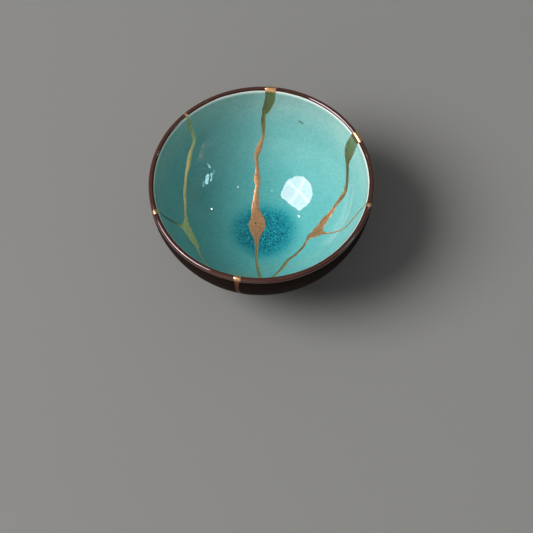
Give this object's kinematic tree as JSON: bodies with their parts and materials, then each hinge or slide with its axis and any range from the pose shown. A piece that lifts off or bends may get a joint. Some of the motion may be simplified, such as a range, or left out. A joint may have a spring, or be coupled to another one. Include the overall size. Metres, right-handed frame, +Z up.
{
  "type": "kintsugi bowl",
  "caption": "Round stoneware bowl on a foot ring, turquoise crackle glaze inside and dark brown outside, broken and mended with raised gold seams that run from rim to rim.",
  "frame": {"origin": "centre of the foot ring's resting face", "axes": "+Z up along the bowl's axis, +X to the right and +Y to the back as the picture shows the bowl"},
  "size_m": [0.15, 0.15, 0.0763],
  "materials": {
    "glazed_stoneware": "gloss glaze, turquoise inside, dark brown on the lip and outside",
    "gold": "polished gold powder on lacquer, slightly proud and uneven"
  },
  "bodies": {
    "root": {"sherd_back_left": "glazed_stoneware", "sherd_back_right": "glazed_stoneware", "sherd_right": "glazed_stoneware", "sherd_front_right": "glazed_stoneware", "sherd_front_left": "glazed_stoneware", "sherd_left": "glazed_stoneware", "gold_seams": "gold"}
  },
  "joints": []
}
